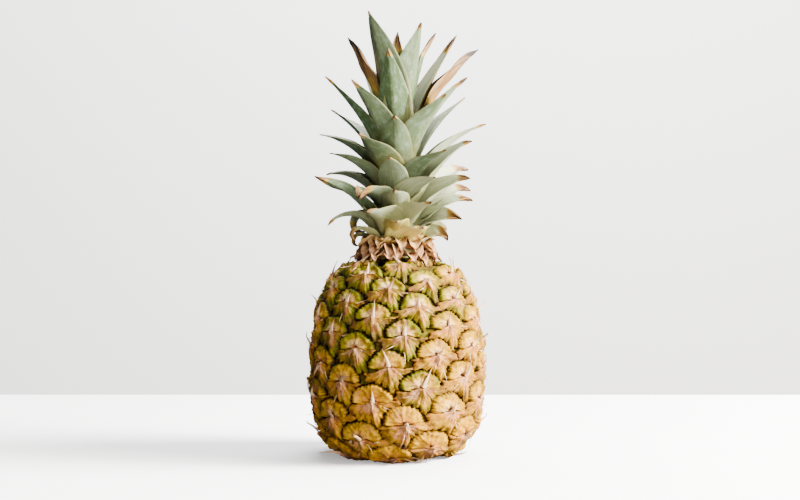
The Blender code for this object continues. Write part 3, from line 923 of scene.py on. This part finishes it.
def blade_line(turn, course, look):
    """At each row, the blade's middle, the way across it and the way into its hollow."""
    stride = np.diff(course, axis=0)
    lean = np.arctan2(stride[:, 0], stride[:, 1])
    lengths = np.hypot(stride[:, 0], stride[:, 1])
    middle = (STEPS[1:] + STEPS[:-1]) / 2
    begin = look["curl_from"]
    lean = lean + math.radians(look["curl"]) * climb(middle, begin, 1 - begin) ** 1.5
    swing = math.radians(look["swing"]) * climb(middle, 0.3, 0.7) ** 1.5
    out, side, up = direction(turn), direction(turn + 90), np.array([0, 0, 1.0])
    heading = np.cos(swing)[:, None] * out + np.sin(swing)[:, None] * side
    tangent = np.sin(lean)[:, None] * heading + np.cos(lean)[:, None] * up
    start = course[0, 0] * out + course[0, 1] * up
    line = start + np.concatenate([np.zeros((1, 3)), np.cumsum(tangent * lengths[:, None], axis=0)])
    tangent = np.concatenate([tangent[:1], (tangent[1:] + tangent[:-1]) / 2, tangent[-1:]])
    tangent /= np.linalg.norm(tangent, axis=1, keepdims=True)
    level = side - (tangent @ side)[:, None] * tangent
    level /= np.linalg.norm(level, axis=1, keepdims=True)
    inward = np.cross(tangent, level)
    spin = np.radians(look["twist"]) * climb(STEPS, 0.45, 0.55) ** 1.6
    spin = (spin + np.radians(look["tilt"]) * climb(STEPS, 0, 0.3))[:, None]
    return line, np.cos(spin) * level + np.sin(spin) * inward, np.cos(spin) * inward - np.sin(spin) * level


def blade_half_width(steps, width, dry, look):
    """Half the blade's width, which tapers to the tip and shrinks where it is dry."""
    taper = climb(steps, look["broad"], 1 - look["broad"])
    profile = (1 - taper ** look["shape"]) ** look["point"]
    profile = np.maximum(profile * (1 - 0.45 * dry * (1 - taper)), 0.02)
    return width / 2 * look["wide"] * profile


def add_blade(build, turn, course, width, number, look):
    """A tapering, hollow blade along the course, which is (radius, height) points from root to tip."""
    line, across_way, inward = blade_line(turn, course, look)
    steps = STEPS[:, None]
    dry = climb(steps, 1 - look["dry"], max(look["dry"], 0.02))
    half = blade_half_width(steps, width, dry, look)

    across = np.linspace(-1, 1, COLUMNS)
    across = np.sign(across) * np.abs(across) ** 0.85
    edge = np.abs(across)
    hollow = look["hollow"] * (0.45 + 0.75 * np.sin(math.pi * np.clip(steps * 0.9 + 0.05, 0, 1)) ** 0.7)
    hollow = hollow + 0.9 * dry * look["roll"]
    fold = look["fold"] + 0.9 * np.clip(1 - steps * 4, 0, 1)
    rise = half * hollow * edge**fold
    ripple = look["ripple"] * np.sin(21 * steps + 5 * number + 2 * across) * edge**3
    crumple = 0.9 * dry * np.sin(17 * steps + 6 * across + number) * np.minimum(half, 1.5)
    rise = rise + ripple + crumple
    wall = look["thick"] * (1 - 0.5 * steps) * (1 - 0.85 * edge**4)
    wall = np.minimum(wall, 0.5 * half + 0.05)
    spot = line[:, None] + across_way[:, None] * (half * across)[..., None]
    outer = spot + inward[:, None] * rise[..., None]
    inner = spot + inward[:, None] * (rise + wall)[..., None]

    build.add_grid(
        np.concatenate([outer, inner[:, ::-1]], axis=1),
        wrap=True,
        along=steps * look["length"],
        across=np.concatenate([across, across[::-1]]),
        leaf=number * 3.1,
        dry=dry * 1.3 + 0.25 * look["dry_edge"] * (np.concatenate([edge, edge[::-1]]) > 0.8),
        pale=np.clip(look["pale"] + look["pale_root"] * (1 - steps * 2.2), 0, 1),
        cream=look["cream"],
        inner=np.repeat([0, look["bright_inside"]], COLUMNS),
    )


def make_leaves(material):
    """One blade to each CAD leaf. The lower a leaf's tip, the more it is curled, dry and yellow, and the
    more cream-white it is painted, which is painted light.
    """
    leaves = sorted(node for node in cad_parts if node.startswith("leaf_"))
    for number, node in enumerate(leaves):
        luck = rng.random(6)
        name = node.removeprefix("leaf_")
        turn, places, width = leaf_course(node)
        course = smooth_course(places, np.linspace(-LEAF_BURIED, 1, ROWS))
        length = float(np.hypot(*np.diff(course, axis=0).T).sum())
        course[:, 0] -= LEAF_GATHER * np.clip(1 - STEPS / 0.2, 0, 1) ** 1.5
        lowest = float(climb(-places[-1][1], -LOWEST_TIP, LOWEST_SPAN))
        low = float(climb(-places[-1][1], -LOW_TIP, LOW_SPAN))
        look = {
            **PLAIN_LOOK,
            "curl": 24 * (luck[0] - 0.3) + 40 * lowest,
            "swing": 12 * (luck[1] - 0.5),
            "twist": 50 * (luck[2] - 0.5),
            "dry": 0.05 + 0.1 * luck[3] ** 2 + 0.15 * lowest,
            "pale": 0.7 * lowest,
            "pale_root": 0.35,
            # painted light: the lower leaves are painted creamier
            "cream": 0.45 * low,
            "length": length / LEAF_UNIT,
            **LOOKS.get(name, {}),
        }
        build = Build()
        add_blade(build, turn, course, width * LEAF_WIDTH, number, look)
        build.finish("blade_" + name, material, "leaf_green", [node])


def make_heart(material):
    """The youngest leaves, which close over the top of the crown's stem."""
    build = Build()
    stem_top = np.array([0.0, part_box("crown_stem")[1][2] / MM])
    for number in range(HEART_LEAVES):
        luck = rng.random(3)
        tip = stem_top + HEART_TIP + luck[:2] * (3.0, 10.0)
        course = bent_course(stem_top + HEART_ROOT, stem_top + HEART_BEND, tip, STEPS)
        look = {**PLAIN_LOOK, "twist": 20 * (luck[2] - 0.5), "cream": 0.3, "length": 1.0}
        add_blade(build, 360 * number / HEART_LEAVES, course, HEART_WIDTH, HEART_NUMBERS + number, look)
    build.finish("blades_heart", material, "leaf_green")


def make_collar():
    """Layers of withered bracts round the neck, each a small crumpled blade of its own."""
    build = Build()
    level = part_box("dry_collar")[0][2] / MM + HUSK_LEVEL
    number = HUSK_NUMBERS
    for count, radius, height, out, drop, fresh in HUSK_LAYERS:
        for place in range(count):
            luck = rng.random(8)
            number += 1
            turn = 360 * (place + 0.7 * luck[0]) / count + 9 * out
            root = np.array([radius, level + height + 2 * luck[2]])
            tip = root + np.array([out * (0.8 + 0.5 * luck[3]), -drop * (0.3 + luck[4])])
            bend = root + np.array([out * 0.8, 4.0 * luck[5]])
            course = bent_course(root, bend, tip, STEPS)
            look = {
                **HUSK_LOOK,
                "curl": 110 * (luck[5] - 0.7),
                "swing": 60 * (luck[6] - 0.5),
                "twist": 60 * (luck[7] - 0.5),
                "pale": fresh,
            }
            add_blade(build, turn, course, 10 + 5 * luck[1], number, look)
    build.finish("dry_husks", husk_material(), "dry_paper", ["dry_collar"])


def dress_stems():
    """The two stems keep their CAD shape and get a fibrous look."""
    for node, name, dark, light in (
        ("crown_stem", "pale_stem", (150, 140, 80), (206, 204, 140)),
        ("cut_stem", "cut_wood", (120, 84, 50), (196, 160, 110)),
    ):
        material = stem_material(name, dark, light)
        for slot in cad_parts[node].material_slots:
            slot.material = material


# --- Table, light and camera: these lengths are metres

TABLE_FRONT, TABLE_BACK = -2.0, 0.37
WALL_BACK = 1.6  # how far behind the fruit the backdrop stands
ROOM_HALF = 3.0  # how far off the side walls and the wall behind the camera stand
WALL_FOOT, WALL_TOP = -1.5, 3.0
TABLE_GREY, WALL_GREY = srgb(240, 240, 240), srgb(232, 232, 232)
TABLE_GLOW, BACKDROP_GLOW, ROOM_GLOW = 0.4, 0.7, 1.9

WHITE = (1.0, 1.0, 1.0)
WARM_WINDOW = (1.0, 0.95, 0.87)
WARM_TABLE = (1.0, 0.92, 0.72)
PALE_SKY, SKY_STRENGTH = (0.93, 0.95, 1.0), 0.14

CAMERA_PLACE = (0.0021, -0.90, 0.1434)
CAMERA_LENS, CAMERA_SENSOR = 57.7, 36.0  # millimetres


def make_sheet(name, corners, grey, roughness, glow):
    """A sheet that shows pale behind the fruit, but throws no light of its own on it."""
    mesh = bpy.data.meshes.new(name)
    mesh.from_pydata(corners, [], [(0, 1, 2, 3)])
    made = add_object(name, mesh)
    s = Shader(name)
    s.feed(s.surface.inputs["Emission Color"], (*WHITE, 1.0))
    s.colour = (*grey, 1.0)
    mesh.materials.append(s.finish(roughness, Emission_Strength=glow))
    made.visible_diffuse = False
    made.visible_glossy = False
    return made


def make_table():
    x, front, back = ROOM_HALF, TABLE_FRONT, TABLE_BACK
    corners = [(-x, front, 0), (x, front, 0), (x, back, 0), (-x, back, 0)]
    return make_sheet("table", corners, TABLE_GREY, 0.5, TABLE_GLOW)


def make_walls():
    """The backdrop and the room's other walls, which glow, so that every side has a pale background."""
    left, right, front = -ROOM_HALF, ROOM_HALF, -ROOM_HALF
    for name, (x1, y1), (x2, y2), glow in (
        ("backdrop", (left, WALL_BACK), (right, WALL_BACK), BACKDROP_GLOW),
        ("backdrop_left", (left, front), (left, WALL_BACK), ROOM_GLOW),
        ("backdrop_right", (right, WALL_BACK), (right, front), ROOM_GLOW),
        ("backdrop_front", (right, front), (left, front), ROOM_GLOW),
    ):
        corners = [(x1, y1, WALL_FOOT), (x2, y2, WALL_FOOT), (x2, y2, WALL_TOP), (x1, y1, WALL_TOP)]
        make_sheet(name, corners, WALL_GREY, 0.9, glow)


def make_lamp(name, place, target, size, watts, colour=WHITE):
    """A rectangular lamp that faces the target."""
    light = bpy.data.lights.new(name, "AREA")
    light.shape = "RECTANGLE"
    light.size, light.size_y = size
    light.energy = watts
    light.color = colour
    made = add_object(name, light)
    made.location = place
    made.rotation_mode = "QUATERNION"
    made.rotation_quaternion = Vector(np.array(target) - np.array(place)).to_track_quat("-Z", "Y")
    return made


def light_only(lamp, lit):
    """Keeps the lamp's light off everything but this one object."""
    chosen = bpy.data.collections.new("lit_by_" + lamp.name)
    chosen.objects.link(lit)
    lamp.light_linking.receiver_collection = chosen


def make_lamps(table):
    """A window on the right, what the table throws back of it, a soft ceiling and front, and a lamp on the
    wall. The table has a window of its own, which makes its shadow as light as the photo's."""
    make_lamp("window", (1.5, -0.5, 0.75), (0, 0, 0.16), (0.6, 0.6), 212, WARM_WINDOW)
    bounce = make_lamp("table_bounce", (0.27, -0.5, 0.01), (0, 0, 0.1), (0.7, 0.5), 5.5, WARM_TABLE)
    bounce.visible_camera = False
    light_only(make_lamp("window_on_table", (1.6, -0.12, 0.75), (0, 0, 0), (0.6, 0.6), 420), table)
    make_lamp("ceiling", (0.2, 0.1, 2.1), (0, 0, 0), (2.2, 1.6), 34)
    make_lamp("front_fill", (0.9, -1.9, 0.9), (0, 0, 0.15), (1.0, 1.0), 23)
    make_lamp("wall_wash", (0.2, 0.6, 1.9), (0.1, WALL_BACK, 0.2), (1.5, 0.5), 125)


def make_world():
    world = bpy.data.worlds.new("studio")
    world.use_nodes = True
    background = world.node_tree.nodes["Background"]
    background.inputs["Color"].default_value = (*PALE_SKY, 1.0)
    background.inputs["Strength"].default_value = SKY_STRENGTH
    bpy.context.scene.world = world


def make_camera():
    camera = bpy.data.cameras.new("camera")
    camera.lens, camera.sensor_width = CAMERA_LENS, CAMERA_SENSOR
    made = add_object("camera", camera)
    made.location = CAMERA_PLACE
    made.rotation_euler = (math.radians(90), 0, 0)
    bpy.context.scene.camera = made


make_fruit()
make_collar()
crown_look = leaf_material()
make_leaves(crown_look)
make_heart(crown_look)
dress_stems()
studio_table = make_table()
make_walls()
make_lamps(studio_table)
make_world()
make_camera()
